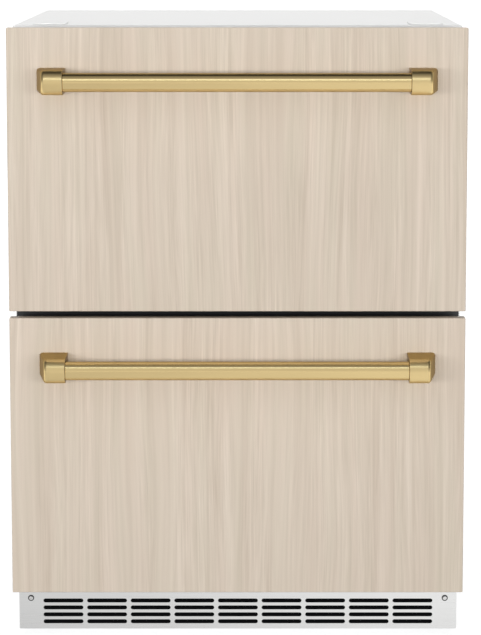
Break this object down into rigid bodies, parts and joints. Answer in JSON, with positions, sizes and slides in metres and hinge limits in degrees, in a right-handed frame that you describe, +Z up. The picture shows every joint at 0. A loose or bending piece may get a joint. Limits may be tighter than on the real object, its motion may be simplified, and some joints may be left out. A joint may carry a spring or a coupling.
{
  "type": "undercounter drawer refrigerator",
  "caption": "Undercounter refrigerator with stacked veneered drawers on telescopic slides, bar handles on cast posts and a slotted kick grille.",
  "frame": {"origin": "on the floor under the centre of the whole object's box, handles included", "axes": "+Z up, +X to the right seen from the front, and the drawers open towards -Y"},
  "size_m": [0.598, 0.6686, 0.8348],
  "materials": {
    "veneer": "satin",
    "bronze": "satin",
    "stainless": "satin",
    "casing": "satin",
    "door_skin": "satin",
    "galvanised": "matte",
    "liner": "satin",
    "foam": "matte",
    "trim": "satin",
    "gasket": "matte",
    "black": "satin",
    "enamel": "gloss",
    "lens": "satin",
    "copper": "satin",
    "aluminium": "satin"
  },
  "bodies": {
    "cabinet": {"cabinet_shell": "casing", "back_panel": "galvanised", "insulation": "foam", "upper_liner": "liner", "lower_liner": "liner", "mullion_cover": "trim", "mullion_strip": "trim", "floor_pan": "galvanised", "base_tray": "galvanised", "kick_grille": "stainless", "kick_screw_left": "stainless", "kick_screw_right": "stainless", "rear_grille": "galvanised", "power_inlet": "black", "counter_bracket_left": "casing", "counter_bracket_right": "casing", "upper_fixed_rail_left": "galvanised", "upper_fixed_rail_right": "galvanised", "lower_fixed_rail_left": "galvanised", "lower_fixed_rail_right": "galvanised", "evaporator_cover": "liner", "evaporator_coil": "aluminium", "evaporator_fan_motor": "enamel", "upper_light": "lens", "lower_light": "lens", "control_panel": "black", "compressor": "enamel", "drain_tray": "black", "fan_shroud": "galvanised", "condenser_fan_motor": "enamel", "condenser_coil": "aluminium", "discharge_pipe": "copper"},
    "upper_drawer": {"upper_panel": "veneer", "upper_door": "door_skin", "upper_gasket": "gasket", "upper_handle_bar": "bronze", "upper_handle_post_left": "bronze", "upper_handle_post_right": "bronze", "upper_tub": "stainless", "upper_inner_rail_left": "galvanised", "upper_inner_rail_right": "galvanised"},
    "lower_drawer": {"lower_panel": "veneer", "lower_door": "door_skin", "lower_gasket": "gasket", "lower_handle_bar": "bronze", "lower_handle_post_left": "bronze", "lower_handle_post_right": "bronze", "lower_tub": "stainless", "lower_inner_rail_left": "galvanised", "lower_inner_rail_right": "galvanised"},
    "upper_middle_rails": {"upper_middle_rail_left": "galvanised", "upper_middle_rail_right": "galvanised"},
    "lower_middle_rails": {"lower_middle_rail_left": "galvanised", "lower_middle_rail_right": "galvanised"},
    "condenser_fan": {"condenser_fan": "black"},
    "evaporator_fan": {"evaporator_fan": "black"},
    "foot_front_left": {"foot_front_left": "black"},
    "foot_front_right": {"foot_front_right": "black"},
    "foot_rear_left": {"foot_rear_left": "black"},
    "foot_rear_right": {"foot_rear_right": "black"}
  },
  "joints": [
    {"name": "upper_drawer_slide", "type": "slide", "parent": "cabinet", "child": "upper_drawer", "axis": [0, -1, 0], "range_m": [0, 0.38]},
    {"name": "lower_drawer_slide", "type": "slide", "parent": "cabinet", "child": "lower_drawer", "axis": [0, -1, 0], "range_m": [0, 0.3]},
    {"name": "upper_middle_rail_slide", "type": "slide", "parent": "cabinet", "child": "upper_middle_rails", "axis": [0, -1, 0], "range_m": [0, 0.19]},
    {"name": "lower_middle_rail_slide", "type": "slide", "parent": "cabinet", "child": "lower_middle_rails", "axis": [0, -1, 0], "range_m": [0, 0.15]},
    {"name": "condenser_fan_spin", "type": "hinge", "parent": "cabinet", "child": "condenser_fan", "pos_m": [0.0598, 0.23325, 0.13012], "axis": [1, 0, 0], "continuous": true},
    {"name": "evaporator_fan_spin", "type": "hinge", "parent": "cabinet", "child": "evaporator_fan", "pos_m": [0, 0.25895, 0.701], "axis": [0, -1, 0], "continuous": true},
    {"name": "foot_front_left_screw", "type": "slide", "parent": "cabinet", "child": "foot_front_left", "axis": [0, 0, -1], "range_m": [0, 0.025]},
    {"name": "foot_front_right_screw", "type": "slide", "parent": "cabinet", "child": "foot_front_right", "axis": [0, 0, -1], "range_m": [0, 0.025]},
    {"name": "foot_rear_left_screw", "type": "slide", "parent": "cabinet", "child": "foot_rear_left", "axis": [0, 0, -1], "range_m": [0, 0.025]},
    {"name": "foot_rear_right_screw", "type": "slide", "parent": "cabinet", "child": "foot_rear_right", "axis": [0, 0, -1], "range_m": [0, 0.025]}
  ],
  "couplings": [
    {"joint": "upper_middle_rail_slide", "follows": "upper_drawer_slide", "ratio": 0.5},
    {"joint": "lower_middle_rail_slide", "follows": "lower_drawer_slide", "ratio": 0.5}
  ]
}
